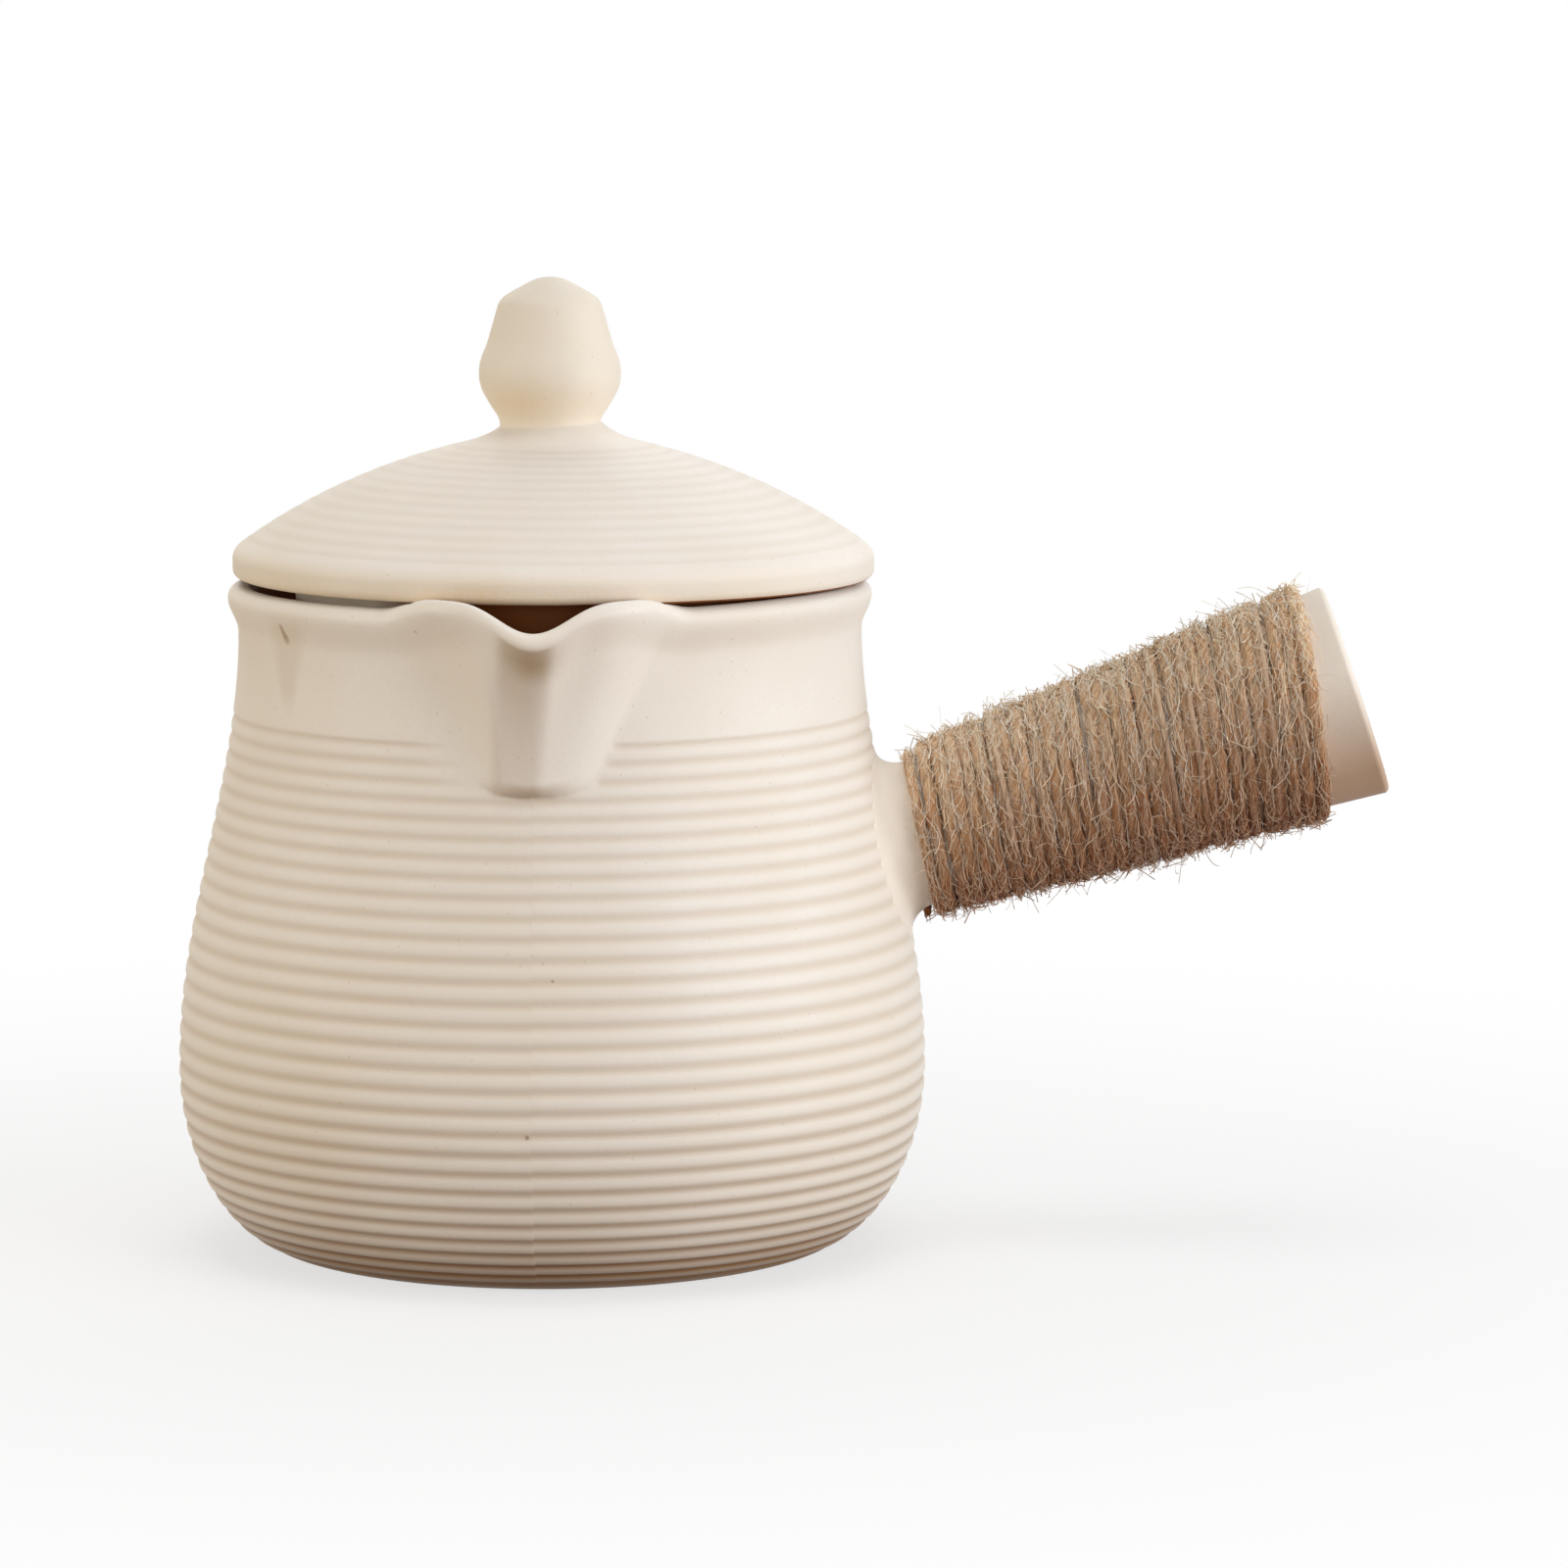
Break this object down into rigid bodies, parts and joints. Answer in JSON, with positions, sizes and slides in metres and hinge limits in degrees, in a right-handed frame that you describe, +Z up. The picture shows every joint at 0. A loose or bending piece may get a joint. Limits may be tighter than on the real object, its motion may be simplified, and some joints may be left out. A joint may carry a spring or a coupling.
{
  "type": "teapot",
  "caption": "Ribbed clay teapot with a pulled pouring lip, a hollow side handle bound in twine, and a loose domed lid that lifts off by its knob.",
  "frame": {"origin": "centre of the foot on the pot's axis, at table level", "axes": "+Z up along the pot's axis, -Y towards the pouring lip, +X towards the handle"},
  "size_m": [0.1648, 0.102, 0.1324],
  "materials": {
    "pot_clay": "matte unglazed cream clay with fine specks",
    "lid_clay": "matte unglazed cream clay, a little yellower",
    "jute_twine": "coarse twisted jute with loose fibres"
  },
  "bodies": {
    "pot": {"pot_body": "pot_clay", "pouring_lip": "pot_clay", "handle_tube": "pot_clay", "handle_twine": "jute_twine"},
    "lid": {"lid_dome": "lid_clay", "lid_flange": "lid_clay", "lid_knob": "lid_clay"}
  },
  "joints": [
    {"name": "lid_lift", "type": "slide", "parent": "pot", "child": "lid", "axis": [0, 0, 1], "range_m": [0, 0.06]}
  ]
}
